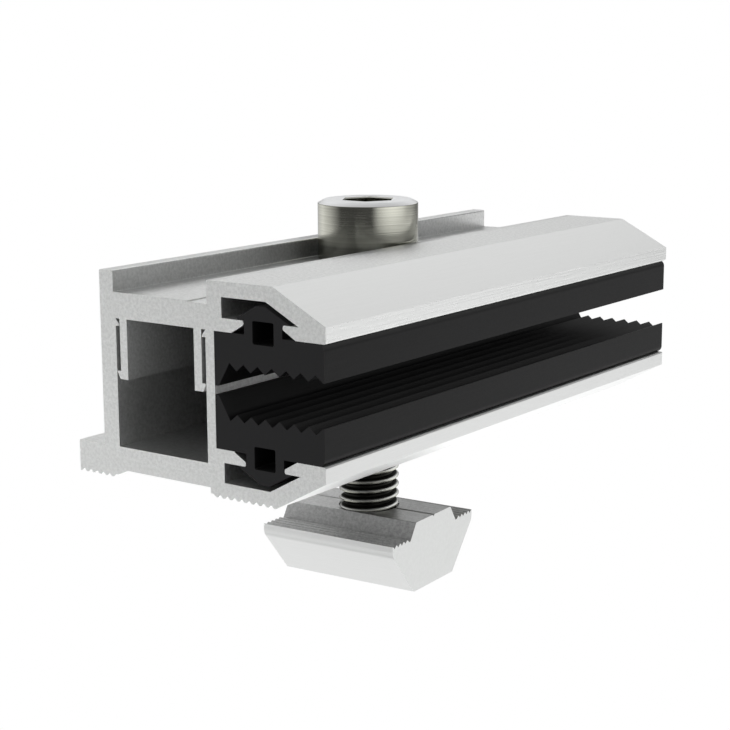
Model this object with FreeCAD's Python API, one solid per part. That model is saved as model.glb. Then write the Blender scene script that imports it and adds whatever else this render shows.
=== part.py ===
import FreeCAD, Part
import math
import os

# Solar end clamp: two aluminium extrusions that slide on one another, two rubber gaskets that grip
# the edge of a frameless module, a socket-head bolt and a slot nut that hangs in the mounting rail.
# Millimetres. Origin: on the bolt's axis, in the plane of the serrated sole that sits on the rail.
# +X points out of the jaw's mouth, +Y runs along the extrusions, +Z is up.

# Shared by both extrusions
LENGTH = 80.0               # along Y, also the length of the gaskets
CORNER_R = 0.1              # inner corners of an extrusion
LIP_R = 0.2                 # rounding of the thin tips
MOST_OF_A_SIDE = 0.45       # share of a side that the rounding of one corner may take

# Base extrusion: chamber
FLOOR_TOP = 3.75            # floor of the chamber above the sole
FLOOR_UNDER = 1.0           # relieved underside of the floor above the sole
CHAMBER_H = 15.0            # floor to the tops of the walls
CHAMBER_W = 13.44           # between the inner faces of the two walls
OUTER_WALL_T = 2.37
INNER_WALL_T = 1.23         # the wall between chamber and gaskets

# Base extrusion: foot and serrated sole
FOOT_REACH = 4.1            # foot beyond the outer wall
FOOT_SOLE_W = 6.1           # serrated part of the foot
RAMP_RUN = 1.5              # from the foot's serration up to the relieved underside
JAW_SOLE_INSET = 0.3        # from the chamber's face to the serrated part under the jaw
JAW_SOLE_W = 9.25
TOOTH_PITCH = 1.0
TOOTH_H = 0.33
TOOTH_LAND = 0.3            # flat on the tip of a tooth

# Jaws: the same pocket in both, measured from the jaw's face into the metal
JAW_REACH = 15.23           # from the chamber side of the gaskets out to the upper nose
LOWER_NOSE_BACK = 0.15      # the lower nose stands this much further back
NOSE_H = 1.85               # upright face of each nose
LIP_T = 1.5
POCKET_D = 2.3              # behind the lips
LIP_TIP_H = 0.5             # upright part of a lip's tip
POCKET_INSET = 1.13         # pocket's flat side from the chamber side of the gaskets
INNER_LIP_L = 3.05          # inner lip, pocket side to tip
SLOT_W = 5.4                # between the tips of the two lips
LEAD_IN = 1.7               # slanted entry on each lip
JAW_SKIN_T = 1.95           # slanted wall behind the pocket

# Cap extrusion
PLATE_T = 3.0
FIN_H = 2.45
RIDGE_H = 2.5
RIDGE_TOP_W = 9.2           # flat top of the ridge before it slopes to the nose
RELIEF_W = 2.75             # strip along the ridge that is set a little lower
RELIEF_D = 0.12
HEAD_ROOM = 0.5             # between the bolt's head and the fin or the ridge

# Sliding fit between cap and base
HOOK_REACH = 0.5
HOOK_GAP = 0.1              # between a hook's tip and the face it passes
HOOK_LAND = 0.2             # upright part of a hook's tip
HOOK_FOOT_REACH = 0.1       # what is left of the cap's hook at its rounded-off foot
BASE_HOOK_H = 0.85
CAP_HOOK_H = 0.95
LEG_T = 1.1
LEG_L = 7.0

# Gaskets: measured from the jaw's face into the mouth
MOUTH = 4.85                # between the tooth tips of the two gaskets
RUBBER_TOOTH_H = 0.8
RUBBER_PITCH = 2.0
LOBE_GAP = 1.0              # between the two inner lobes
LOBE_TIP_W = 0.5
LOBE_W = 2.1                # lobe at its foot
FRONT_LAND_W = 0.15
GASKET_BACK = 0.1           # rubber face behind the lower nose
GASKET_SIDE_GAP = 0.03      # rubber to the wall beside it
NECK_GAP = 0.1              # neck to a lip's tip
BARB = 0.95                 # barb over the inner lip
BARB_T = 0.25
POCKET_ROOM = 0.55          # arrow head to the bottom of the pocket
SLANT_ROOM = 1.1            # arrow head to the slanted side of the pocket, along X
HEAD_FLAT_W = 1.3
TUNNEL_W = 2.9
TUNNEL_H = 2.55
TUNNEL_ABOVE_FACE = 0.95
RUBBER_CORNER_R = 0.8

# Bolt, M8 x 40 with a socket head; its thread is not cut here
SHANK_R = 4.0
SHANK_L = 40.0
TIP_CHAMFER = 0.8
HEAD_R = 6.5
BOLT_HEAD_H = 7.7
HEAD_CHAMFER_W = 0.8        # round the head's flat top
HEAD_CHAMFER_H = 0.45
HEAD_FOOT_R = 0.2
UNDERHEAD_R = 0.35
SOCKET_AF = 6.0
SOCKET_D = 4.4
SOCKET_CONE_D = 1.0
SOCKET_BEVEL = 0.15         # round the socket's mouth
HOLE_GAP = 0.5              # round the shank in both extrusions
THREAD_GAP = 0.05           # round the shank in the nut

# Slot nut, extruded along X
NUT_L = 20.0
NUT_TURN = 3.0              # it hangs loosely on the bolt, a little askew; degrees about Z
NUT_DROP = 11.3             # top of its boss below the sole
BOSS_RIM = 0.35             # flat top of the boss beside the bore
BOSS_FLARE = 1.4            # each side of the boss, top to foot
BOSS_H = 1.8
BOSS_R = 0.25
WING_W = 4.4
WING_SIDE_H = 1.25
WING_R = 1.6
UNDER_RIM = 0.9             # flat underside beside the bore
TAPER_H = 6.1
NUT_TOOTH_PITCH = 0.9
NUT_TOOTH_H = 0.35
NUT_TOOTH_LAND = 0.16
CENTRE_GROOVE_W = 0.5
CENTRE_GROOVE_D = 0.22

# Levels and faces that follow from the sizes above
INNER_SIDE = CHAMBER_W / 2
OUTER_SIDE = -CHAMBER_W / 2
WALL_TOP = FLOOR_TOP + CHAMBER_H
GASKET_SIDE = INNER_SIDE + INNER_WALL_T
NOSE_X = GASKET_SIDE + JAW_REACH
LOWER_NOSE_X = NOSE_X - LOWER_NOSE_BACK
POCKET_SIDE = GASKET_SIDE + POCKET_INSET
INNER_TIP = POCKET_SIDE + INNER_LIP_L
OUTER_TIP = INNER_TIP + SLOT_W
LOWER_FACE = FLOOR_TOP + NOSE_H
UPPER_FACE = WALL_TOP
PLATE_TOP = WALL_TOP + PLATE_T
GROOVE_HALF = HEAD_R + HEAD_ROOM
RIDGE_TOP = PLATE_TOP + RIDGE_H
RIDGE_END_X = GROOVE_HALF + RIDGE_TOP_W
JAW_SOLE_X = INNER_SIDE + JAW_SOLE_INSET
JAW_SOLE_END_X = JAW_SOLE_X + JAW_SOLE_W
OUTER_FACE = OUTER_SIDE - OUTER_WALL_T
FOOT_X = OUTER_FACE - FOOT_REACH


def round_corner(before, corner, after, radius):
    """Tangent points and mid point of the arc that rounds one corner, limited by its two sides."""
    to_before = before - corner
    to_after = after - corner
    run = min(to_before.Length, to_after.Length)
    to_before.normalize()
    to_after.normalize()
    half = to_before.getAngle(to_after) / 2
    setback = min(radius / math.tan(half), MOST_OF_A_SIDE * run)
    fitted = setback * math.tan(half)
    bisector = (to_before + to_after).normalize()
    middle = corner + bisector * (fitted / math.sin(half) - fitted)
    return corner + to_before * setback, middle, corner + to_after * setback


def section(points, place):
    """Closed face through (across, height) or (across, height, radius) corners, set out by place."""
    count = len(points)
    corners = [place(point[0], point[1]) for point in points]
    starts = []
    ends = []
    arcs = []
    for index, point in enumerate(points):
        if len(point) == 2:
            starts.append(corners[index])
            ends.append(corners[index])
            continue
        begin, middle, end = round_corner(
            corners[index - 1], corners[index], corners[(index + 1) % count], point[2]
        )
        starts.append(begin)
        ends.append(end)
        arcs.append((index, Part.Arc(begin, middle, end).toShape()))
    arc_at = dict(arcs)
    edges = []
    for index in range(count):
        if index in arc_at:
            edges.append(arc_at[index])
        following = (index + 1) % count
        if ends[index].distanceToPoint(starts[following]) > 1e-6:
            edges.append(Part.makeLine(ends[index], starts[following]))
    return Part.Face(Part.Wire(edges))


def extrusion(points):
    """A profile drawn across X and Z, run along Y for the full length."""
    face = section(points, lambda x, z: FreeCAD.Vector(x, -LENGTH / 2, z))
    return face.extrude(FreeCAD.Vector(0, LENGTH, 0))


def teeth(start, end, root, tip, pitch, land):
    """Points of a row of teeth from start to end that finishes on the land of the last tooth."""
    count = max(1, round(abs(end - start) / pitch))
    step = (end - start) / count
    flat = math.copysign(land, step)
    points = [(start, root)]
    for index in range(count):
        foot = start + index * step
        points.append((foot + (step - flat) / 2, root))
        points.append((foot + step - flat, tip))
        points.append((foot + step, tip))
    return points


def jaw_pocket(face, into, slope_x):
    """Lips and pocket from the inner lip to the outer one; into is +1 for the upper jaw, -1 below.

    slope_x gives the place of the slanted pocket side for a height.
    """
    lip_back = face + into * LIP_T
    tip_front = face + into * (LIP_T - LIP_TIP_H)
    bottom = face + into * (LIP_T + POCKET_D)
    return [
        (INNER_TIP - LEAD_IN, face),
        (INNER_TIP, tip_front, LIP_R),
        (INNER_TIP, lip_back, LIP_R),
        (POCKET_SIDE, lip_back, CORNER_R),
        (POCKET_SIDE, bottom, CORNER_R),
        (slope_x(bottom), bottom, CORNER_R),
        (slope_x(lip_back), lip_back),
        (OUTER_TIP, lip_back, LIP_R),
        (OUTER_TIP, tip_front, LIP_R),
        (OUTER_TIP + LEAD_IN, face),
    ]


def inside_slope(foot, nose):
    """Gives X for a height on the line that runs one skin thickness inside the slant foot to nose."""
    run = nose[0] - foot[0]
    rise = nose[1] - foot[1]
    shift = JAW_SKIN_T * math.hypot(run, rise) / abs(rise)
    return lambda z: foot[0] + (z - foot[1]) * run / rise - shift


def lower_slope(z):
    """X of the slanted side of the lower pocket at a height."""
    return inside_slope((JAW_SOLE_END_X, 0.0), (LOWER_NOSE_X, FLOOR_TOP))(z)


def upper_slope(z):
    """X of the slanted side of the upper pocket at a height."""
    return inside_slope((RIDGE_END_X, RIDGE_TOP), (NOSE_X, UPPER_FACE + NOSE_H))(z)


def bolt_hole(radius, bottom, top):
    """Cutter for an upright hole on the bolt's axis."""
    return Part.makeCylinder(radius, top - bottom, FreeCAD.Vector(0, 0, bottom))


def base_hook(wall_x, inward):
    """Top of a wall: a hook whose slanted top lets the cap's hook snap past, listed downwards."""
    tip = wall_x + inward * HOOK_REACH
    under = WALL_TOP - BASE_HOOK_H
    return [(wall_x, WALL_TOP), (tip, under + HOOK_LAND), (tip, under), (wall_x, under)]


def make_base_profile():
    """Lower extrusion: foot, chamber, hooked walls, serrated sole and lower jaw."""
    foot_teeth_x = FOOT_X + FOOT_SOLE_W
    points = [(FOOT_X, FLOOR_TOP, LIP_R), (OUTER_FACE, FLOOR_TOP, CORNER_R), (OUTER_FACE, WALL_TOP)]
    points += base_hook(OUTER_SIDE, 1)
    points += [(OUTER_SIDE, FLOOR_TOP, CORNER_R), (INNER_SIDE, FLOOR_TOP, CORNER_R)]
    points += reversed(base_hook(INNER_SIDE, -1))
    points += [(GASKET_SIDE, WALL_TOP), (GASKET_SIDE, LOWER_FACE)]
    points += jaw_pocket(LOWER_FACE, -1, lower_slope)
    points += [(LOWER_NOSE_X, LOWER_FACE, LIP_R), (LOWER_NOSE_X, FLOOR_TOP)]
    points += reversed(teeth(JAW_SOLE_X, JAW_SOLE_END_X, TOOTH_H, 0.0, TOOTH_PITCH, TOOTH_LAND))
    points += [(JAW_SOLE_X, FLOOR_UNDER), (foot_teeth_x + RAMP_RUN, FLOOR_UNDER)]
    points += teeth(foot_teeth_x, FOOT_X, TOOTH_H, 0.0, TOOTH_PITCH, TOOTH_LAND)
    return extrusion(points).cut(bolt_hole(SHANK_R + HOLE_GAP, FLOOR_UNDER, FLOOR_TOP))


def cap_leg(wall_x, outward):
    """Hanging leg with a hook, beside the wall face wall_x; outward points from leg to wall."""
    leg_face = wall_x - outward * (HOOK_REACH + HOOK_GAP)
    hook_tip = leg_face + outward * HOOK_REACH
    foot = WALL_TOP - LEG_L
    catch = foot + CAP_HOOK_H
    return [
        (leg_face, WALL_TOP, CORNER_R),
        (leg_face, catch),
        (hook_tip, catch),
        (hook_tip, catch - HOOK_LAND),
        (leg_face + outward * HOOK_FOOT_REACH, foot),
        (leg_face - outward * LEG_T, foot),
        (leg_face - outward * LEG_T, WALL_TOP, CORNER_R),
    ]


def make_cap_profile():
    """Upper extrusion: plate with fin and ridge, upper jaw, and two hooked legs."""
    fin_top = PLATE_TOP + FIN_H
    points = [(OUTER_FACE, WALL_TOP), (OUTER_FACE, fin_top, LIP_R), (-GROOVE_HALF, fin_top, LIP_R)]
    points += [(-GROOVE_HALF, PLATE_TOP, CORNER_R), (GROOVE_HALF - RELIEF_W, PLATE_TOP)]
    points += [(GROOVE_HALF - RELIEF_W, PLATE_TOP - RELIEF_D), (GROOVE_HALF, PLATE_TOP - RELIEF_D)]
    points += [(GROOVE_HALF, RIDGE_TOP, LIP_R), (RIDGE_END_X, RIDGE_TOP, CORNER_R)]
    points += [(NOSE_X, UPPER_FACE + NOSE_H), (NOSE_X, UPPER_FACE, LIP_R)]
    points += reversed(jaw_pocket(UPPER_FACE, 1, upper_slope))
    points += cap_leg(INNER_SIDE, 1)
    points += reversed(cap_leg(OUTER_SIDE, -1))
    return extrusion(points).cut(bolt_hole(SHANK_R + HOLE_GAP, WALL_TOP, PLATE_TOP))


def gasket_outline(head_side):
    """Rubber section as (x, depth): depth is positive into the mouth, negative into the pocket.

    head_side gives X of the arrow head's outer side for a depth.
    """
    tip = (UPPER_FACE - LOWER_FACE - MOUTH) / 2
    lobe = (UPPER_FACE - LOWER_FACE - LOBE_GAP) / 2
    side = GASKET_SIDE + GASKET_SIDE_GAP
    front = LOWER_NOSE_X - GASKET_BACK
    inner_neck = INNER_TIP + NECK_GAP
    outer_neck = OUTER_TIP - NECK_GAP
    head_top = -LIP_T - POCKET_D + POCKET_ROOM
    points = [(side, 0.0), (side, lobe), (side + LOBE_TIP_W, lobe, LIP_R)]
    points += rubber_teeth(side + LOBE_W, front - FRONT_LAND_W, tip)
    points += [(front, tip), (front, 0.0, RUBBER_CORNER_R), (outer_neck, 0.0), (outer_neck, -LIP_T)]
    points += [(head_side(-LIP_T), -LIP_T), (head_side(head_top), head_top)]
    points += [(head_side(head_top) - HEAD_FLAT_W, head_top)]
    points += [(inner_neck - BARB, -LIP_T - BARB_T), (inner_neck - BARB, -LIP_T)]
    points += [(inner_neck, -LIP_T), (inner_neck, 0.0)]
    return points


def rubber_teeth(start, end, tip):
    """Pointed teeth from the foot of the lobe to the front land, half a pitch longer than whole."""
    count = max(1, round((end - start) / RUBBER_PITCH - 0.5))
    step = (end - start) / (count + 0.5)
    points = []
    for index in range(count + 1):
        points.append((start + index * step, tip - RUBBER_TOOTH_H))
        points.append((start + (index + 0.5) * step, tip))
    return points


def make_gasket(face, into, slope_x):
    """Rubber profile on a jaw's face; into is +1 for the upper jaw and -1 for the lower."""
    outline = gasket_outline(lambda depth: slope_x(face - into * depth) - SLANT_ROOM)
    points = [(point[0], face - into * point[1], *point[2:]) for point in outline]
    middle = (INNER_TIP + OUTER_TIP) / 2
    left = middle - TUNNEL_W / 2
    right = middle + TUNNEL_W / 2
    near = face - into * TUNNEL_ABOVE_FACE
    far = near + into * TUNNEL_H
    tunnel = [(left, near, LIP_R), (right, near, LIP_R), (right, far, LIP_R), (left, far, LIP_R)]
    return extrusion(points).cut(extrusion(tunnel))


def make_socket_bolt():
    """Socket-head cap screw whose head rests on the cap's plate, shank plain at thread size."""
    top = PLATE_TOP + BOLT_HEAD_H
    tip = PLATE_TOP - SHANK_L
    profile = [
        (0.0, tip),
        (SHANK_R - TIP_CHAMFER, tip),
        (SHANK_R, tip + TIP_CHAMFER),
        (SHANK_R, PLATE_TOP, UNDERHEAD_R),
        (HEAD_R, PLATE_TOP, HEAD_FOOT_R),
        (HEAD_R, top - HEAD_CHAMFER_H),
        (HEAD_R - HEAD_CHAMFER_W, top),
        (0.0, top),
    ]
    face = section(profile, lambda x, z: FreeCAD.Vector(x, 0, z))
    body = face.revolve(FreeCAD.Vector(0, 0, 0), FreeCAD.Vector(0, 0, 1), 360)
    return body.cut(hex_socket(top))


def hexagon(across_flats, z):
    """Closed hexagon wire about the bolt's axis at a height, with a corner on +X."""
    corner_r = across_flats / math.sqrt(3)
    angles = [math.radians(60 * index) for index in range(7)]
    corners = [FreeCAD.Vector(corner_r * math.cos(angle), corner_r * math.sin(angle), z) for angle in angles]
    return Part.makePolygon(corners)


def hex_socket(top):
    """Cutter for the hexagon socket, with a cone-shaped bottom and a bevelled mouth."""
    floor = top - SOCKET_D
    prism = Part.Face(hexagon(SOCKET_AF, floor)).extrude(FreeCAD.Vector(0, 0, SOCKET_D))
    bottom = Part.makeCone(0, SOCKET_AF / 2, SOCKET_CONE_D, FreeCAD.Vector(0, 0, floor - SOCKET_CONE_D))
    rims = [hexagon(SOCKET_AF, top - SOCKET_BEVEL), hexagon(SOCKET_AF + 2 * SOCKET_BEVEL, top)]
    mouth = Part.makeLoft(rims, True, True)
    return prism.fuse([bottom, mouth])


def make_slot_nut():
    """Slot nut: boss for the rail's slot, serrated wings under its lips, tapered underside."""
    top = -NUT_DROP
    wing = top - BOSS_H
    side_foot = wing - WING_SIDE_H
    under = side_foot - TAPER_H
    bore_r = SHANK_R + THREAD_GAP
    boss_edge = bore_r + BOSS_RIM
    wing_foot = boss_edge + BOSS_FLARE
    wing_edge = wing_foot + WING_W
    half = [(0.0, top - CENTRE_GROOVE_D), (CENTRE_GROOVE_W / 2, top), (boss_edge, top, BOSS_R)]
    half += teeth(wing_foot, wing_edge, wing - NUT_TOOTH_H, wing, NUT_TOOTH_PITCH, NUT_TOOTH_LAND)
    half += [(wing_edge, side_foot, WING_R), (bore_r + UNDER_RIM, under, CORNER_R)]
    mirrored = [(-point[0], *point[1:]) for point in reversed(half[1:])]
    face = section(half + mirrored, lambda y, z: FreeCAD.Vector(-NUT_L / 2, y, z))
    body = face.extrude(FreeCAD.Vector(NUT_L, 0, 0)).cut(bolt_hole(bore_r, under, top))
    return body.rotated(FreeCAD.Vector(0, 0, 0), FreeCAD.Vector(0, 0, 1), NUT_TURN)


def export(name, shape):
    """Write one sub-part and print what it measures."""
    box = shape.BoundBox
    shape.exportStep(f"parts/{name}.step")
    print(name, "valid", shape.isValid(), "solids", len(shape.Solids), "volume", round(shape.Volume, 2))
    print("  x", round(box.XMin, 3), round(box.XMax, 3), "y", round(box.YMin, 3), round(box.YMax, 3))
    print("  z", round(box.ZMin, 3), round(box.ZMax, 3))


def main():
    os.makedirs("parts", exist_ok=True)
    export("base_profile", make_base_profile())
    export("cap_profile", make_cap_profile())
    export("lower_gasket", make_gasket(LOWER_FACE, -1, lower_slope))
    export("upper_gasket", make_gasket(UPPER_FACE, 1, upper_slope))
    export("socket_bolt", make_socket_bolt())
    export("slot_nut", make_slot_nut())


main()
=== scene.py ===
# %% [markdown]
# # A solar end clamp, dressed for its picture
#
# The clamp holds the edge of a frameless solar module on a mounting rail. Two aluminium
# extrusions slide on one another, each carries a rubber profile, and a socket-head bolt pulls
# both of them down onto a nut that hangs in the rail's slot.
#
# The solid model comes first and is loaded here as a fixed frame: its parts give every size and
# place, and nothing in this file moves or reshapes them. What this file adds is what a solid
# model leaves out: the real screw thread, the finishes of sawn and drawn aluminium, cut rubber
# and turned steel, and the light of a small product studio.

# %% Load the frame
import bpy
import math
import numpy as np
from mathutils import Matrix, Vector


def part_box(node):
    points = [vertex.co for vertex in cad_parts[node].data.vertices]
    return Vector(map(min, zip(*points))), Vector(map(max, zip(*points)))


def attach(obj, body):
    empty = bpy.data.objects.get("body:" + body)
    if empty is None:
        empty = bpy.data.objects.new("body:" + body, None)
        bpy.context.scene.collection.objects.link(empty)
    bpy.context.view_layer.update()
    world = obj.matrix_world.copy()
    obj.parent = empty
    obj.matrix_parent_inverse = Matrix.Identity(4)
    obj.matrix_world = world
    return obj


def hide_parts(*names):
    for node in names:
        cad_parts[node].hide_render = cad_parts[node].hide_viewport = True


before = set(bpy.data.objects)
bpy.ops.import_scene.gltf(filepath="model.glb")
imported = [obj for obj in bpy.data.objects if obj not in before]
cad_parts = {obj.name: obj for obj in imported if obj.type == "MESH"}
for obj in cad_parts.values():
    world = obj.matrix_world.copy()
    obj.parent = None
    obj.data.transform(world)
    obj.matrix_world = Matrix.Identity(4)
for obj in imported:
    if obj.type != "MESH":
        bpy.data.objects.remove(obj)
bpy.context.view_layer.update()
MM = 0.001

# %% [markdown]
# ## The camera
#
# The picture was taken from the front right, eleven degrees above the horizon, with a long lens.
# A lens and a place were found that bring the long edges of both extrusions and the corners of
# their sawn ends onto the edges in the picture. Such a fit is better than turning a camera by
# eye, because all the edges that run along the clamp lean by slightly different amounts and only
# one distance explains them all. The camera leans a quarter of a degree to one side, as a
# hand-held one does.

# %% Camera
CAMERA_PLACE = (0.12604, -0.17617, 0.05015)
CAMERA_AZIMUTH, CAMERA_ELEVATION, CAMERA_ROLL = 35.705, 11.118, -0.2523
LENS_MM, SENSOR_MM = 82.68, 36.0
NEAR, FAR = 0.01, 20.0


def camera_axes(azimuth, elevation, roll):
    """Right, up and back of a camera: back comes from two angles round the object, and the other
    two stand square to it, turned by the roll."""
    a, e, r = (math.radians(angle) for angle in (azimuth, elevation, roll))
    back = Vector((math.sin(a) * math.cos(e), -math.cos(a) * math.cos(e), math.sin(e)))
    level = (-back).cross(Vector((0, 0, 1))).normalized()
    upright = level.cross(-back)
    right = level * math.cos(r) + upright * math.sin(r)
    up = upright * math.cos(r) - level * math.sin(r)
    return right, up, back


camera = bpy.data.objects.new("camera", bpy.data.cameras.new("camera"))
bpy.context.scene.collection.objects.link(camera)
camera.data.lens, camera.data.sensor_width = LENS_MM, SENSOR_MM
camera.data.clip_start, camera.data.clip_end = NEAR, FAR
turned = Matrix(camera_axes(CAMERA_AZIMUTH, CAMERA_ELEVATION, CAMERA_ROLL)).transposed().to_4x4()
camera.matrix_world = Matrix.Translation(CAMERA_PLACE) @ turned
bpy.context.scene.camera = camera
bpy.context.scene.view_settings.view_transform = "Standard"
print("camera at", [round(value, 4) for value in camera.matrix_world.translation])

# %% [markdown]
# ## Shader maths
#
# A finish is a sum of patterns, and sums are easier to read as written arithmetic than as boxes
# with wires. There is a node for each step, so this class wraps one socket and turns + - * ** and
# abs into Math nodes, also with a plain number on the left side. Every other node is added by
# `node`, which sets the node's own settings first and then its sockets, from values or from
# wrapped sockets. Only the operators that the finishes use are there.

# %% Socket class
class Signal:
    """One output of a shader node. Arithmetic on it adds Math nodes to the same material."""

    def __init__(self, tree, socket):
        self.tree, self.socket = tree, socket

    def node(self, kind, settings=None, sockets=None, output=0):
        """Adds a node, its settings first and then its sockets, and gives one of its outputs."""
        made = self.tree.nodes.new(kind)
        for name, value in (settings or {}).items():
            setattr(made, name, value)
        for name, value in (sockets or {}).items():
            if isinstance(value, Signal):
                self.tree.links.new(value.socket, made.inputs[name])
            else:
                made.inputs[name].default_value = value
        return Signal(self.tree, made.outputs[output])

    def maths(self, operation, first, second=0.0):
        return self.node("ShaderNodeMath", {"operation": operation}, {0: first, 1: second})

    def __add__(self, other):
        return self.maths("ADD", self, other)

    def __sub__(self, other):
        return self.maths("SUBTRACT", self, other)

    def __rsub__(self, other):
        return self.maths("SUBTRACT", other, self)

    def __mul__(self, other):
        return self.maths("MULTIPLY", self, other)

    def __pow__(self, other):
        return self.maths("POWER", self, other)

    __radd__ = __add__
    __rmul__ = __mul__

    def __abs__(self):
        return self.maths("ABSOLUTE", self)

    def rise(self, low, high):
        """0 below low, 1 above high and a smooth step between."""
        sockets = {0: self, "From Min": low, "From Max": high}
        return self.node("ShaderNodeMapRange", {"interpolation_type": "SMOOTHSTEP"}, sockets)

    def stretched(self, x, y, z):
        """A place with its three parts multiplied: a pattern on it is drawn out or packed."""
        scale = {0: self, 1: (x, y, z)}
        return self.node("ShaderNodeVectorMath", {"operation": "MULTIPLY"}, scale)

    def parts(self):
        """The three parts of a vector as numbers."""
        split = self.node("ShaderNodeSeparateXYZ", None, {0: self})
        return [Signal(self.tree, split.socket.node.outputs[index]) for index in range(3)]

    def noise(self, scale, detail, roughness=0.5):
        """Smooth noise from 0 to 1 about 0.5 at a place; scale is its lumps for each unit."""
        sockets = {"Vector": self, "Scale": scale, "Detail": detail, "Roughness": roughness}
        return self.node("ShaderNodeTexNoise", None, sockets)

    def tint(self, dark, light):
        """A colour between two, by this value from 0 to 1."""
        colours = {0: self, 6: (*dark, 1.0), 7: (*light, 1.0)}
        return self.node("ShaderNodeMix", {"data_type": "RGBA"}, colours, 2)

    def mixed(self, first, second):
        """A colour between two colour sockets, by this value from 0 to 1."""
        return self.node("ShaderNodeMix", {"data_type": "RGBA"}, {0: self, 6: first, 7: second}, 2)


print("shader class ready")

# %% [markdown]
# Every finish starts the same way: one shader with its constant sockets set, and two signals to
# build on, the place in millimetres and the way the face looks, both in the piece's own frame.
# They come from Object coordinates, so a pattern rides along when a piece moves. The results are
# linked by name.

# %% Start and end of a finish
def new_finish(name, **constants):
    """A material with a Principled shader whose own constant sockets are set. It comes back with
    the shader, the place in mm and the face normal."""
    material = bpy.data.materials.new(name)
    material.use_nodes = True
    shader = material.node_tree.nodes["Principled BSDF"]
    for socket, value in constants.items():
        shader.inputs[socket.replace("_", " ")].default_value = value
    start = Signal(material.node_tree, None)
    coordinates = start.node("ShaderNodeTexCoord", None, None, "Object")
    facing = Signal(material.node_tree, coordinates.socket.node.outputs["Normal"])
    place = coordinates.stretched(1 / MM, 1 / MM, 1 / MM)
    return material, shader, place, facing


def plug(shader, **signals):
    """Links signals to the sockets of a shader by name."""
    for socket, signal in signals.items():
        signal.tree.links.new(signal.socket, shader.inputs[socket.replace("_", " ")])


def relief(height, distance_mm, strength):
    """A height pattern turned into a bumped normal; distance_mm is the height of a full step."""
    sockets = {"Height": height, "Distance": distance_mm * MM, "Strength": strength}
    return height.node("ShaderNodeBump", None, sockets)


def dress(nodes, finish):
    """Gives parts of the solid model a finish as their only material."""
    for name in nodes:
        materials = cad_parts[name].data.materials
        materials.clear()
        materials.append(finish)
    print(finish.name, "on", *nodes)


print("finish helpers ready")

# %% [markdown]
# ## Studio
#
# The picture has a white ground with no visible shadow: the clamp hangs in a light tent. So the
# camera sees a pale sheet as floor, a little below the clamp because its nut travels down, and
# white above it. White all round would make metal look like paper. In a real tent the walls are
# lit unevenly, and gloss and matt faces live from that: bright walls low behind and at the left,
# a strip at the right, another high behind, and darkness where the camera stands. The tent here
# is a sphere of points whose level is set by direction. A few rows of levels, named by their
# elevation in degrees and each starting over the front, are blended by straight lines, first
# round the tent to the right and then up it. The levels were worked out one direction at a time
# from how much each lights every face. The tent is hidden from the camera, as its walls are
# outside the picture.
#
# Black rubber and sawn ends need more light than such a tent gives without washing out the metal.
# Three round lamps add it: a strong one low at the left, two weak ones at the front and at the
# right. Large lamps give soft light, and these leave no reflection of themselves in the metal, as
# if a diffuser stood before them.

# %% Levels of the tent
TENT_RADIUS = 0.9
TENT_LEVELS = {
    -90: [0.86],
    -60: [0.0, 0.66, 1.64, 0.46],
    -35: [0.27, 0.51, 0.8, 1.47, 1.64, 1.67, 1.0, 0.75],
    -20: [0.03, 0.02, 0.13, 0.0, 0.49, 0.92, 0.72, 1.0, 0.52, 0.58, 0.82, 0.43],
    -11: [0.02, 0.07, 0.02, 0.0, 0.32, 0.3, 0.07, 0.3, 0.57, 1.26, 1.62, 1.15,
          0.51, 0.53, 0.57, 0.57, 0.57, 0.58, 0.6, 0.66, 0.79, 0.48, 0.43, 0.27],
    -3: [0.07, 0.07, 0.08, 0.08, 0.45, 0.7, 0.9, 0.8, 0.65, 0.5, 0.48, 0.36,
         0.19, 0.29, 0.39, 0.5, 0.6, 0.79, 0.98, 0.75, 0.53, 0.29, 0.05, 0.06],
    5: [0.06, 0.07, 0.08, 0.08, 0.8, 1.1, 1.2, 1.2, 1.1, 0.6, 0.36, 0.18,
        0.0, 0.0, 0.0, 0.14, 0.28, 0.43, 0.58, 0.53, 0.48, 0.28, 0.08, 0.07],
    12: [0.01, 0.0, 0.0, 0.17, 0.9, 1.0, 0.1, 0.0, 0.0, 0.07, 0.11, 0.24, 0.15, 0.0, 0.0, 0.0],
    22: [0.0, 0.0, 0.0, 0.0, 0.03, 0.15, 1.0, 1.6, 0.82, 0.0, 0.0, 0.0],
    38: [0.0, 0.0, 0.0, 0.0, 0.65, 1.57, 0.51, 0.7],
    60: [0.35, 0.39, 0.57, 0.62],
    90: [0.47],
}


def tent_levels(azimuth, elevation):
    """Light level by direction: a row of levels is joined by straight lines, then rows are."""
    heights = np.array(list(TENT_LEVELS), float)
    rows = np.array([
        np.interp(azimuth, np.linspace(0, 360, len(row) + 1), [*row, row[0]])
        for row in TENT_LEVELS.values()
    ])
    below = np.clip(np.searchsorted(heights, elevation, side="right") - 1, 0, len(heights) - 2)
    share = ((elevation - heights[below]) / (heights[below + 1] - heights[below]))[:, None]
    return rows[below] * (1 - share) + rows[below + 1] * share


print("tent levels in", len(TENT_LEVELS), "rows")

# %% [markdown]
# Sheet and tent are meshes from arrays: a list of points and a list of faces that name four
# points each. Their material only gives light, the same everywhere on the sheet, and by a number
# kept at each point on the tent. Such a number needs no picture and no extra nodes.

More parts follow.
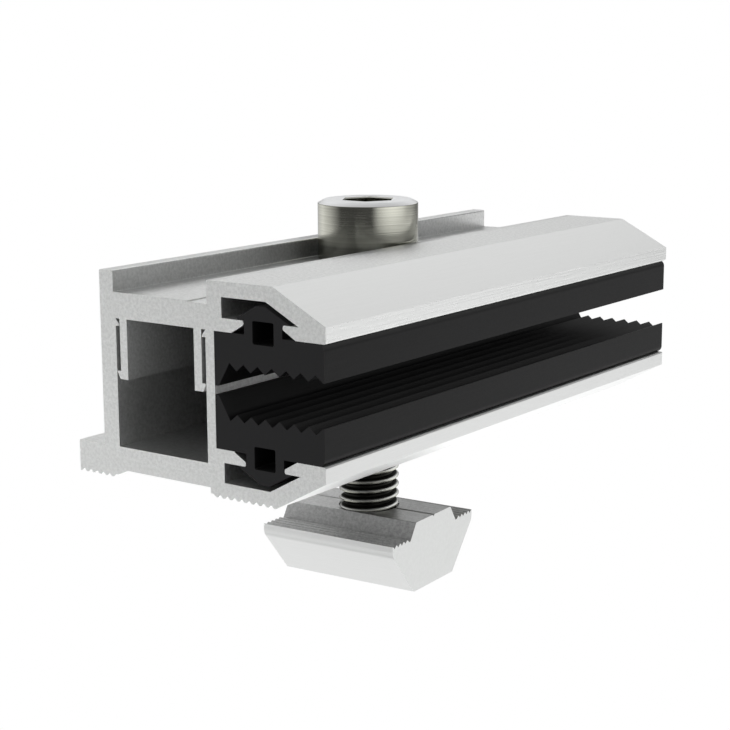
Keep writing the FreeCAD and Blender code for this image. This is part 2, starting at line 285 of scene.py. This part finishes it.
# %% Sheets of light
def glow(name, strength):
    """A white material that only gives light; strength is a number, or a point attribute's name."""
    material = bpy.data.materials.new(name)
    material.use_nodes = True
    material.cycles.emission_sampling = "NONE"
    nodes, links = material.node_tree.nodes, material.node_tree.links
    nodes.remove(nodes["Principled BSDF"])
    light = nodes.new("ShaderNodeEmission")
    if isinstance(strength, str):
        levels = nodes.new("ShaderNodeAttribute")
        levels.attribute_name = strength
        links.new(levels.outputs["Fac"], light.inputs["Strength"])
    else:
        light.inputs["Strength"].default_value = strength
    links.new(light.outputs[0], nodes["Material Output"].inputs["Surface"])
    return material


def mesh_object(name, points, faces, material):
    """A mesh object at the origin from an array of points and an array of faces."""
    mesh = bpy.data.meshes.new(name)
    mesh.from_pydata(np.asarray(points, float).tolist(), [], np.asarray(faces, int).tolist())
    mesh.materials.append(material)
    made = bpy.data.objects.new(name, mesh)
    bpy.context.scene.collection.objects.link(made)
    return made


def quads(rows, columns, closed=False):
    """Faces of a grid numbered row by row; closed joins the last column to the first."""
    across = columns if closed else columns - 1
    row, column = np.meshgrid(np.arange(rows - 1), np.arange(across), indexing="ij")
    after = (column + 1) % columns
    here, above = row * columns, (row + 1) * columns
    corners = [here + column, here + after, above + after, above + column]
    return np.stack(corners, -1).reshape(-1, 4)


print("sheet helpers ready")

# %% [markdown]
# The sheet lies below the lowest place that the nut can reach. It shows as white ground but
# throws no light and takes no shadow, because in the picture there is none. The tent is a grid of
# points round the clamp: x = sin azimuth cos elevation, y = -cos azimuth cos elevation, z = sin
# elevation.

# %% Floor and tent
FLOOR_Z = -0.075
FLOOR_HALF = 6.0
TENT_STEP_DEG, TENT_ROWS, TENT_POLE_DEG = 3.0, 60, 89.5

floor_points = [
    (x, y, FLOOR_Z) for y in (-FLOOR_HALF, FLOOR_HALF) for x in (-FLOOR_HALF, FLOOR_HALF)
]
floor = mesh_object("floor", floor_points, quads(2, 2), glow("pale_sheet", 1.0))

azimuth = np.arange(0.0, 360.0, TENT_STEP_DEG)
elevation = np.linspace(-TENT_POLE_DEG, TENT_POLE_DEG, TENT_ROWS)
turn, climb = np.radians(azimuth)[None, :], np.radians(elevation)[:, None]
tent_points = np.stack([
    np.sin(turn) * np.cos(climb),
    -np.cos(turn) * np.cos(climb),
    np.sin(climb) * np.ones_like(turn),
], -1).reshape(-1, 3)
tent_faces = quads(len(elevation), len(azimuth), True)
tent = mesh_object("light_tent", tent_points * TENT_RADIUS, tent_faces, glow("tent_wall", "level"))
levels = tent_levels(azimuth, elevation)
tent.data.attributes.new("level", "FLOAT", "POINT").data.foreach_set("value", levels.ravel())
tent.visible_camera = False
for hidden_from in ("visible_diffuse", "visible_glossy", "visible_transmission", "visible_shadow"):
    setattr(floor, hidden_from, False)
print("tent levels from", round(float(levels.min()), 2), "to", round(float(levels.max()), 2))

# %% [markdown]
# Each lamp is given by azimuth, elevation and watts, and looks at the clamp. The world behind all
# this is plain white: it only shows along the picture's upper edge, where the sheet ends.

# %% Lamps and backdrop
FILL_PLACE, FILL_SIDE = 0.8, 0.5
FILLS = {"fill_left": (-46, -10, 18.6), "fill_front": (20, 12, 1.0), "fill_right": (90, 15, 2.0)}


def fill_lamp(name, azimuth, elevation, watts):
    """A round soft lamp that looks at the clamp and leaves no reflection of itself."""
    lamp = bpy.data.objects.new(name, bpy.data.lights.new(name, "AREA"))
    lamp.data.shape, lamp.data.size, lamp.data.energy = "DISK", FILL_SIDE, watts
    back = camera_axes(azimuth, elevation, 0.0)[2]
    towards = back.to_track_quat("Z", "Y").to_matrix().to_4x4()
    lamp.matrix_world = Matrix.Translation(back * FILL_PLACE) @ towards
    lamp.visible_glossy = False
    bpy.context.scene.collection.objects.link(lamp)
    return lamp


[fill_lamp(name, *values) for name, values in FILLS.items()]

world = bpy.data.worlds.new("studio")
world.use_nodes = True
world.node_tree.nodes["Background"].inputs["Color"].default_value = (1.0, 1.0, 1.0, 1.0)
world.node_tree.nodes["Background"].inputs["Strength"].default_value = 1.0
world.cycles.sampling_method = "NONE"
bpy.context.scene.world = world
print("lamps:", *FILLS)

# %% [markdown]
# ## Aluminium
#
# Both extrusions are pressed through a die, sawn to length and anodised matt. The drawn faces
# carry faint lines along their length from the die, and all faces a fine grain. The sawn ends are
# a little duller and mottled. One material does both: how far a face looks along the length
# decides between the two patterns, so the pattern never has to know which face it is on.

# %% Aluminium finish
LOOKS_ALONG = (0.7, 0.9)
DRAWN_TINT = (0.69, 0.70, 0.69), (0.91, 0.915, 0.91)
SAWN_TINT = (0.65, 0.66, 0.65), (0.89, 0.90, 0.89)
# The third pair of colours is painted shade.
PAINTED_SHADE_TINT = (0.265, 0.265, 0.265), (0.49, 0.49, 0.49)
ALONG_LINES, ACROSS_LINES = 0.12, 5.0
GRAIN_SCALE, MOTTLE_SCALE = 2.6, 1.9
ALUMINIUM_ROUGH = 0.34


def aluminium(name, along, smoothed, painted_shade, scuffed=None):
    """Matt anodised aluminium. along is the axis that the section was drawn along, 0, 1 or 2.
    The rest are functions of place and facing: smoothed tells how far a face has lost its grain,
    the next how far painted shade darkens it, and scuffed how much rougher it is."""
    material, shader, place, facing = new_finish(name, Metallic=0.85)
    sawn = abs(facing.parts()[along]).rise(*LOOKS_ALONG)
    drawn_out = [ACROSS_LINES, ACROSS_LINES, ACROSS_LINES]
    drawn_out[along] = ALONG_LINES
    lines = place.stretched(*drawn_out).noise(1.0, 3.0, 0.6)
    grain = place.noise(GRAIN_SCALE, 3.0, 0.65)
    mottle = place.noise(MOTTLE_SCALE, 3.0, 0.7)
    grainy = 1 - smoothed(place, facing) * 0.9
    speckle = (grain.rise(0.3, 0.7) - 0.5) * grainy + 0.5
    drawn_colour = (speckle * 0.7 + lines * 0.3).tint(*DRAWN_TINT)
    sawn_colour = (speckle * 0.6 + mottle * 0.4).tint(*SAWN_TINT)
    colour = sawn.mixed(drawn_colour, sawn_colour)
    # Painted shade: a darker pair of colours, mixed in as far as the given function asks.
    painted_shade_colour = (speckle * 0.6 + lines * 0.4).tint(*PAINTED_SHADE_TINT)
    colour = painted_shade(place, facing).mixed(colour, painted_shade_colour)
    rough = ALUMINIUM_ROUGH + (grain - 0.5) * 0.16 + (lines - 0.5) * 0.08 + sawn * 0.08
    if scuffed is not None:
        rough = rough + scuffed(place, facing)
    height = lines * (1 - sawn) * 0.25 + grain * grainy * 0.6 + mottle * sawn * 0.5
    plug(shader, Base_Color=colour, Roughness=rough)
    plug(shader, Normal=relief(height, 0.07, 0.8))
    return material


print("aluminium ready")

# %% [markdown]
# Small functions of place and facing add the wear and the painted shade. The outward faces of
# the noses, which every module slides past, are rubbed smooth, and the lower one carries painted
# shade, most towards the far end. The level ridge behind them is rougher. The walls deep in the
# chamber carry painted shade, darker with depth. Painted shade also darkens the plate close round
# the bolt's head. The nut is a piece of another extrusion: its top carries painted shade, its
# sides and ends are bright. A texture painted by hand could do the same, but would stretch at
# every corner.

# %% Wear and painted shade
# Each pair gives the places in mm, in the solid model, where a smooth step starts and ends.
RIDGE_X, RUBBED_X, NOSE_X = (8.0, 9.5), (11.0, 12.0), (20.0, 21.0)
# The last pair sets the painted shade along the lower nose.
UPPER_NOSE_Z, LOWER_NOSE_Z, SHADE_Y = (17.0, 18.0), (9.0, 11.0), (-40.0, 20.0)
# Where painted shade darkens the chamber walls:
CHAMBER_X, CHAMBER_Y = (6.75, 6.9), (16.0, 40.0)
CHAMBER_FLOOR_Z, CHAMBER_TOP_Z = (3.55, 3.7), (18.8, 18.95)
# Where painted shade darkens the plate round the bolt's head:
PLATE_Z, PLATE_END_X, SHADE_RING_R = (21.5, 21.6), (7.5, 8.5), (7.0, 12.0)
# Along this, the painted shade on the nut's top lightens towards -x.
NUT_TOP_X = (-8.0, 8.0)
# The last share is the strength of the painted shade on the plate.
RIDGE_ROUGHER, NOSE_SMOOTHER, SHADE_RING_SHARE = 0.14, 0.045, 0.85


def ridge_and_nose(place, facing):
    """The level ridge above the nose, where fingers and tools rub, is rougher than the rest, and
    the upright face of the upper nose a little smoother."""
    x, _, z = place.parts()
    across, _, up = facing.parts()
    ridge = up.rise(0.9, 1.0) * x.rise(*RIDGE_X)
    nose = across.rise(0.9, 0.98) * x.rise(*NOSE_X) * z.rise(*UPPER_NOSE_Z)
    return ridge * RIDGE_ROUGHER - nose * NOSE_SMOOTHER


def nose_faces(place, facing):
    """The outward faces of both noses, from the ridge on, which every module edge slides past."""
    return place.parts()[0].rise(*RUBBED_X) * facing.parts()[0].rise(0.2, 0.4)


def painted_shade_places(place, facing):
    """Painted shade on the walls of the chamber away from its open ends but not the sawn faces, in
    a ring on the plate round the bolt's head, and on the lower nose."""
    x, y, z = place.parts()
    across, along, up = facing.parts()
    # Painted shade on the chamber walls, darker with depth away from the open ends.
    inside = 1 - abs(x).rise(*CHAMBER_X)
    chamber = inside * z.rise(*CHAMBER_FLOOR_Z) * (1 - z.rise(*CHAMBER_TOP_Z))
    deep = (1 - abs(y).rise(*CHAMBER_Y)) * (1 - abs(along).rise(*LOOKS_ALONG))
    # Painted shade in a ring on the plate round the bolt's head.
    plate = z.rise(*PLATE_Z) * (1 - x.rise(*PLATE_END_X)) * up.rise(0.8, 0.95)
    ring = 1 - ((x * x + y * y) ** 0.5).rise(*SHADE_RING_R)
    # Painted shade on the lower nose, darker towards the far end.
    lower_nose = across.rise(0.9, 0.98) * x.rise(*NOSE_X) * (1 - z.rise(*LOWER_NOSE_Z))
    shade = lower_nose * (0.075 + y.rise(*SHADE_Y) * 0.105)
    return chamber * deep + plate * ring * SHADE_RING_SHARE + shade


def nut_sides(place, facing):
    """All that doesn't look up."""
    return 1 - facing.parts()[2].rise(0.0, 0.3)


def shaded_nut_top(place, facing):
    """Painted shade on all that looks up, a little lighter towards the end at -x."""
    return facing.parts()[2].rise(0.0, 0.3) * (0.72 + place.parts()[0].rise(*NUT_TOP_X) * 0.28)


extrusion_finish = aluminium("matt_extrusion", 1, nose_faces, painted_shade_places, ridge_and_nose)
dress(["base_profile", "cap_profile"], extrusion_finish)
nut_finish = aluminium("matt_nut", 0, nut_sides, shaded_nut_top)
dress(["slot_nut"], nut_finish)

# %% [markdown]
# ## Rubber
#
# The jaw profiles are black rubber, pushed through a die and cut with a knife. It is matt, with
# very faint lines along its length, and the cut ends are a little rougher. The faces that look up,
# between the teeth of the lower profile, carry painted light: most at the open front of the mouth,
# and more on the flanks that look inwards. The painted light is a second, lighter pair of colours
# that the upward part of the normal brings in, which is simpler than a layer of its own and bakes
# into the colour.

# %% Rubber finish
RUBBER_TINT = (0.0035, 0.0035, 0.0035), (0.0105, 0.0105, 0.011)
# The second pair of colours is painted light on the faces that look up.
PAINTED_LIGHT_TINT = (0.020, 0.020, 0.020), (0.055, 0.055, 0.055)
MOUTH_X = (12.0, 22.0)
RUBBER_LINES, RUBBER_GRAIN = (7.0, 0.1, 7.0), 6.0
RUBBER_ROUGH = 0.55


def rubber(name):
    """Matt black rubber, drawn along y, with painted light where it looks up."""
    material, shader, place, facing = new_finish(name, Specular_IOR_Level=0.2)
    cut = abs(facing.parts()[1]).rise(*LOOKS_ALONG)
    lines = place.stretched(*RUBBER_LINES).noise(1.0, 2.0, 0.6)
    grain = place.noise(RUBBER_GRAIN, 3.0, 0.6)
    worn = lines * 0.5 + grain * 0.5
    across, _, up = facing.parts()
    # Painted light on the faces that look up: most towards the mouth's open front and more on the
    # flanks that look inwards.
    light_share = 0.3 + place.parts()[0].rise(*MOUTH_X) * 0.5 + (1 - across.rise(-0.4, 0.2)) * 0.3
    painted_light = up.rise(0.1, 0.5) * light_share
    colour = painted_light.mixed(worn.tint(*RUBBER_TINT), worn.tint(*PAINTED_LIGHT_TINT))
    rough = RUBBER_ROUGH + (grain - 0.5) * 0.2 + cut * 0.08
    plug(shader, Base_Color=colour, Roughness=rough)
    plug(shader, Normal=relief(lines * (1 - cut) + grain * 0.6, 0.01, 0.5))
    return material


dress(["lower_gasket", "upper_gasket"], rubber("black_rubber"))

# %% [markdown]
# ## The bolt
#
# The solid bolt has a plain shank. The real one carries a coarse thread with 60 degree flanks. A
# screw modifier could sweep it, but the ends would be open. Here the whole bolt is one grid of
# points: the columns go round the axis, the rows climb, and in the threaded part the rows lean so
# that they follow the helix. Going once round climbs one pitch, so the last column joins the
# first one a pitch higher. Points past either end of the thread are held on that end's plane,
# where they fall together and merge.

# %% Thread
PITCH = 1.25
COLUMNS = 96
STATIONS = np.array([-0.5, -0.44, -0.4, -0.23, -0.075, -0.05, 0.0, 0.05, 0.075, 0.23, 0.4, 0.44])
CREST_HALF = 0.0625
CREST_R, ROOT_R = 3.97, 3.25
THREAD_PHASE = 0.2
FLANK_DEG = 30
angles = np.linspace(0, 2 * np.pi, COLUMNS, endpoint=False)
next_column = np.roll(np.arange(COLUMNS), -1)


def thread_radius(share):
    """Radius at a share of a pitch from the crest: flat crest, 60 degree flanks, then the root."""
    flank = (np.abs(share) - CREST_HALF) * PITCH / math.tan(math.radians(FLANK_DEG))
    return CREST_R - np.clip(flank, 0.0, CREST_R - ROOT_R)


def helix_rows(low, high):
    """Leaning rows that cover low to high: height = start + pitch * (station + angle / turn)."""
    first = math.floor((low - THREAD_PHASE) / PITCH) - 1
    last = math.ceil((high - THREAD_PHASE) / PITCH) + 1
    shares = np.tile(STATIONS, last - first)
    starts = THREAD_PHASE + PITCH * (np.repeat(np.arange(first, last), len(STATIONS)) + shares)
    heights = starts[:, None] + PITCH * angles[None, :] / (2 * np.pi)
    return np.repeat(shares[:, None], COLUMNS, 1), heights


def helix_quads(rows):
    """Faces of leaning rows: the last column joins the first one a whole pitch of rows higher."""
    step = len(STATIONS)
    grid = np.arange(rows * COLUMNS).reshape(rows, COLUMNS)
    wrapped = np.column_stack([grid[:-step], grid[step:, 0]])
    corners = [wrapped[:-1, :-1], wrapped[:-1, 1:], wrapped[1:, 1:], wrapped[1:, :-1]]
    return np.stack(corners, -1).reshape(-1, 4)


def around(radius, height):
    """Points on the columns' angles: x = radius cos, y = radius sin, z = height."""
    return np.stack([radius * np.cos(angles), radius * np.sin(angles), height], -1).reshape(-1, 3)


def bridge(lower, upper):
    """Faces between two rings of point numbers; they look out when the second ring is above."""
    return np.stack([lower, lower[next_column], upper[next_column], upper], -1)


print("thread depth", round(CREST_R - ROOT_R, 3), "mm, lead angle",
      round(math.degrees(math.atan(PITCH / (2 * math.pi * CREST_R))), 2), "degrees")

# %% [markdown]
# Points that fall together are merged by their rounded place, and faces that lose their area by
# it are dropped, so each piece is one closed skin. Edges sharper than a set angle stay sharp,
# others are shaded smooth: that keeps the thread's crests crisp and the round sides round.

# %% Closed pieces
MERGE_MM = 1e-4
SHARP_DEG = 25


def close_mesh(points, faces):
    """Merges the points that fall together and drops the faces that this leaves without area."""
    keys = np.round(points / MERGE_MM).astype(np.int64)
    _, keep, where = np.unique(keys, axis=0, return_index=True, return_inverse=True)
    where = where.reshape(-1)
    faces = where[faces]
    distinct = faces != np.roll(faces, 1, axis=1)
    cleaned = [face[kept].tolist() for face, kept in zip(faces, distinct) if kept.sum() > 2]
    return points[keep], cleaned


def piece(name, points, faces, material):
    """A finished piece from points in mm and faces of any size, smooth but for its sharp edges."""
    points, faces = close_mesh(np.asarray(points, float), np.asarray(faces))
    mesh = bpy.data.meshes.new(name)
    mesh.from_pydata((points * MM).tolist(), [], faces)
    mesh.materials.append(material)
    mesh.polygons.foreach_set("use_smooth", np.ones(len(mesh.polygons), bool))
    mesh.set_sharp_from_angle(angle=math.radians(SHARP_DEG))
    made = bpy.data.objects.new(name, mesh)
    bpy.context.scene.collection.objects.link(made)
    print(name, len(points), "points", len(faces), "faces")
    return made


print("points closer than", MERGE_MM, "mm merge, edges over", SHARP_DEG, "degrees stay sharp")

# %% [markdown]
# ## Steel
#
# Head and shank were turned and rolled from stainless steel: fine rings run round the axis, and
# gloss stretches along them. The rings are noise of only two coordinates, the radius and the
# height, so they close on themselves without a seam. The head's flat top is rougher than its side
# and painted brighter, as painted light. Painted shade darkens the roots of the thread, so that
# only the crests shine, and the head's foot; the radius and the height decide how dark it gets.

# %% Steel finish
RIDGE_H = 2.5
HEAD_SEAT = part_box("cap_profile")[1].z / MM - RIDGE_H
# The radii and heights below place the painted shade in the thread's roots and at the head's foot;
# the tints give it and the painted light on the head's top.
ROOT_SHADE_R = (3.62, 3.88)
SHANK_END_Z = (HEAD_SEAT - 0.6, HEAD_SEAT - 0.3)
FOOT_SHADE_Z = (HEAD_SEAT + 1.6, HEAD_SEAT + 2.9)
STEEL_TINT = (0.56, 0.56, 0.49), (0.74, 0.74, 0.65)
LIT_TOP_TINT = (0.80, 0.81, 0.82), (0.92, 0.925, 0.93)
ROOT_SHADE_TINT = (0.3, 0.3, 0.28), (0.03, 0.03, 0.026)
FOOT_SHADE_TINT = (0.05, 0.05, 0.045), (0.12, 0.12, 0.11)
RINGS_SCALE, STEEL_GRAIN = 4.5, 5.0
STEEL_ROUGH = 0.09


def turned_steel(name):
    """Bright steel turned round the z axis, with painted shade in the roots of its thread and round
    its head's foot, and painted light on its top. Rings are noise at (radius, height)."""
    material, shader, place, facing = new_finish(name, Metallic=1.0, Anisotropic=0.4)
    x, y, z = place.parts()
    radius = (x * x + y * y) ** 0.5
    scaled = {0: radius * RINGS_SCALE, 1: z * RINGS_SCALE}
    rings = radius.node("ShaderNodeCombineXYZ", None, scaled).noise(1.0, 4.0, 0.75)
    rings = rings.rise(0.25, 0.75)
    grain = place.noise(STEEL_GRAIN, 2.0)
    shank = 1 - z.rise(*SHANK_END_Z)
    root = shank * (1 - radius.rise(*ROOT_SHADE_R))
    foot = (1 - shank) * (1 - z.rise(*FOOT_SHADE_Z))
    top = facing.parts()[2].rise(0.6, 0.9)
    # Painted light: the head's top gets a brighter pair of colours.
    colour = top.mixed(rings.tint(*STEEL_TINT), rings.tint(*LIT_TOP_TINT))
    # Painted shade in the roots of the thread.
    colour = root.mixed(colour, root.tint(*ROOT_SHADE_TINT))
    # Painted shade round the head's foot.
    colour = (foot * 0.6).mixed(colour, rings.tint(*FOOT_SHADE_TINT))
    rough = STEEL_ROUGH + (rings - 0.5) * 0.07 + grain * 0.03 + root * 0.3 + top * 0.3
    plug(shader, Base_Color=colour, Roughness=rough)
    plug(shader, Normal=relief(rings, 0.01, 0.4))
    return material


bolt_finish = turned_steel("turned_steel")
print("steel ready, the head sits at", round(HEAD_SEAT, 3), "mm")

# %% [markdown]
# ## Head, socket and shank in one skin
#
# The head is turned, so its outline is a list of corners, each softened by a small arc as a
# cutting tool leaves it. The socket is pressed: its hexagon is the same ring of columns with the
# radius of a hexagon, flat distance / (2 cos of the angle from the middle of a flat), a little
# wider at the bevelled mouth.

# %% Sizes and rows of the bolt
bolt_low, bolt_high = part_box("socket_bolt")
TIP_Z, TOP_Z = bolt_low.z / MM, bolt_high.z / MM
SHANK_R, TIP_R = 4.0, 3.2
THREAD_L, RUNOUT_L = 26.5, 2.0
RUNOUT = (TIP_Z + THREAD_L, TIP_Z + THREAD_L + RUNOUT_L)
HEAD_R, FOOT_R, FILLET_R = 6.5, 0.2, 0.35
CHAMFER_W, CHAMFER_H, TOOL_R = 0.8, 0.45, 0.07
SOCKET_AF, SOCKET_DEEP, SOCKET_BEVEL, CONE_DEEP = 6.0, 4.4, 0.15, 1.0
TOP_FLAT_R, CONE_RIM = 4.2, 0.02
ARC_STEPS = 5
CORNER_NUDGE = 1e-9


def arc(start, end):
    """Unit vectors of an arc from start to end, in degrees."""
    turn = np.radians(np.linspace(start, end, ARC_STEPS))
    return np.column_stack([np.cos(turn), np.sin(turn)])


def soft_corner(r, z, start, end, radius):
    """Round edge in place of a corner between two faces that look along start and end, in degrees:
    the arc's centre lies inside the corner by radius * (n1 + n2) / (1 + n1 . n2)."""
    normals = arc(start, end)
    first, last = normals[0], normals[-1]
    return np.array([r, z]) - radius * (first + last) / (1 + first @ last) + radius * normals


def level_rows(profile):
    """Level rows: each (r, z) of a profile carried once round the axis."""
    profile = np.asarray(profile, float)
    return np.repeat(profile[:, :1], COLUMNS, 1), np.repeat(profile[:, 1:], COLUMNS, 1)


def threaded_rows():
    """Rows of the shank from the tip up: the tip's chamfer cuts the thread, which fades upwards."""
    shares, z = helix_rows(TIP_Z, RUNOUT[1])
    fade = np.clip((z - RUNOUT[0]) / (RUNOUT[1] - RUNOUT[0]), 0, 1)
    r = thread_radius(shares)
    r = r + (SHANK_R - r) * fade * fade * (3 - 2 * fade)
    z = np.clip(z, TIP_Z, RUNOUT[1])
    return np.minimum(r, TIP_R + (z - TIP_Z)), z


def head_rows():
    """Rows of the head from the fillet under it, over its chamfer and top, down into the socket."""
    slope = math.degrees(math.atan2(CHAMFER_W, CHAMFER_H))
    fillet = [SHANK_R + FILLET_R, HEAD_SEAT - FILLET_R] + FILLET_R * arc(180, 90)
    outer_r, outer_z = level_rows(np.concatenate([
        fillet,
        soft_corner(HEAD_R, HEAD_SEAT, -90, 0, FOOT_R),
        soft_corner(HEAD_R, TOP_Z - CHAMFER_H, 0, slope, TOOL_R),
        soft_corner(HEAD_R - CHAMFER_W, TOP_Z, slope, 90, TOOL_R),
        [(TOP_FLAT_R, TOP_Z)],
    ]))
    hexagon = SOCKET_AF / 2 / np.cos((angles + CORNER_NUDGE) % (np.pi / 3) - np.pi / 6)
    widths = np.array([1 + 2 * SOCKET_BEVEL / SOCKET_AF, 1.0, 1.0])[:, None]
    depths = np.array([0.0, SOCKET_BEVEL, SOCKET_DEEP])[:, None] * np.ones(COLUMNS)
    rim_r, rim_z = level_rows([(SOCKET_AF / 2 - CONE_RIM, TOP_Z - SOCKET_DEEP)])
    r = np.concatenate([outer_r, widths * hexagon, rim_r])
    z = np.concatenate([outer_z, TOP_Z - depths, rim_z])
    return r, z


thread_r, thread_z = threaded_rows()
head_r, head_z = head_rows()
print("rows of points:", len(thread_r), "on the shank,", len(head_r), "on the head")

# %% [markdown]
# All rows go into one list of points, with one point more at the tip's middle and one at the
# bottom of the socket's cone, where the columns meet. It replaces the plain solid bolt and rides
# on its body, so that it turns with it.

# %% Bolt
centres = [(0, 0, TIP_Z), (0, 0, TOP_Z - SOCKET_DEEP - CONE_DEEP)]
points = np.concatenate([around(thread_r, thread_z), around(head_r, head_z), centres])
ring = np.arange(COLUMNS)
last = len(points) - 2
faces = np.concatenate([
    helix_quads(len(thread_r)),
    quads(len(head_r), COLUMNS, True) + thread_r.size,
    bridge(thread_r.size - COLUMNS + ring, thread_r.size + ring),
    bridge(last - COLUMNS + ring, np.full(COLUMNS, last + 1)),
    bridge(np.full(COLUMNS, last), ring),
])
bolt = piece("threaded_bolt", points, faces, bolt_finish)
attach(bolt, "bolt")
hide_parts("socket_bolt")

# %% [markdown]
# ## The thread in the nut
#
# The solid nut has a plain bore. From below one looks straight into it, so it gets the matching
# thread: the same leaning rows as on the bolt, a little wider, on the inside of a thin closed
# sleeve that sits in the bore. Both helices start at the same height, and the nut travels one
# pitch for each turn of the bolt, so the two threads stay in mesh wherever they go. A thread
# can't be bumped into a straight wall as well: its outline shows against the light.

# %% Nut thread
nut_low, nut_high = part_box("slot_nut")
BORE_R, SLEEVE_R, THREAD_ROOM = 4.05, 4.15, 0.06
FOOT_INSET, TOP_INSET = 0.03, 0.25
SLEEVE_FOOT, SLEEVE_TOP = nut_low.z / MM + FOOT_INSET, nut_high.z / MM - TOP_INSET

shares, sleeve_z = helix_rows(SLEEVE_FOOT, SLEEVE_TOP)
sleeve_z = np.clip(sleeve_z, SLEEVE_FOOT, SLEEVE_TOP)
opened = BORE_R - np.minimum(sleeve_z - SLEEVE_FOOT, SLEEVE_TOP - sleeve_z)
sleeve_r = np.maximum(thread_radius(shares) + THREAD_ROOM, opened)
wall_r, wall_z = level_rows([(SLEEVE_R, SLEEVE_TOP), (SLEEVE_R, SLEEVE_FOOT)])
points = np.concatenate([around(sleeve_r, sleeve_z), around(wall_r, wall_z)])
inside_foot, inside_top = ring, sleeve_r.size - COLUMNS + ring
outside_top, outside_foot = sleeve_r.size + ring, sleeve_r.size + COLUMNS + ring
faces = np.concatenate([
    helix_quads(len(sleeve_r))[:, ::-1],
    bridge(outside_foot, outside_top),
    bridge(outside_top, inside_top),
    bridge(inside_foot, outside_foot),
])
nut_thread = piece("nut_thread", points, faces, nut_finish)
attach(nut_thread, "nut")
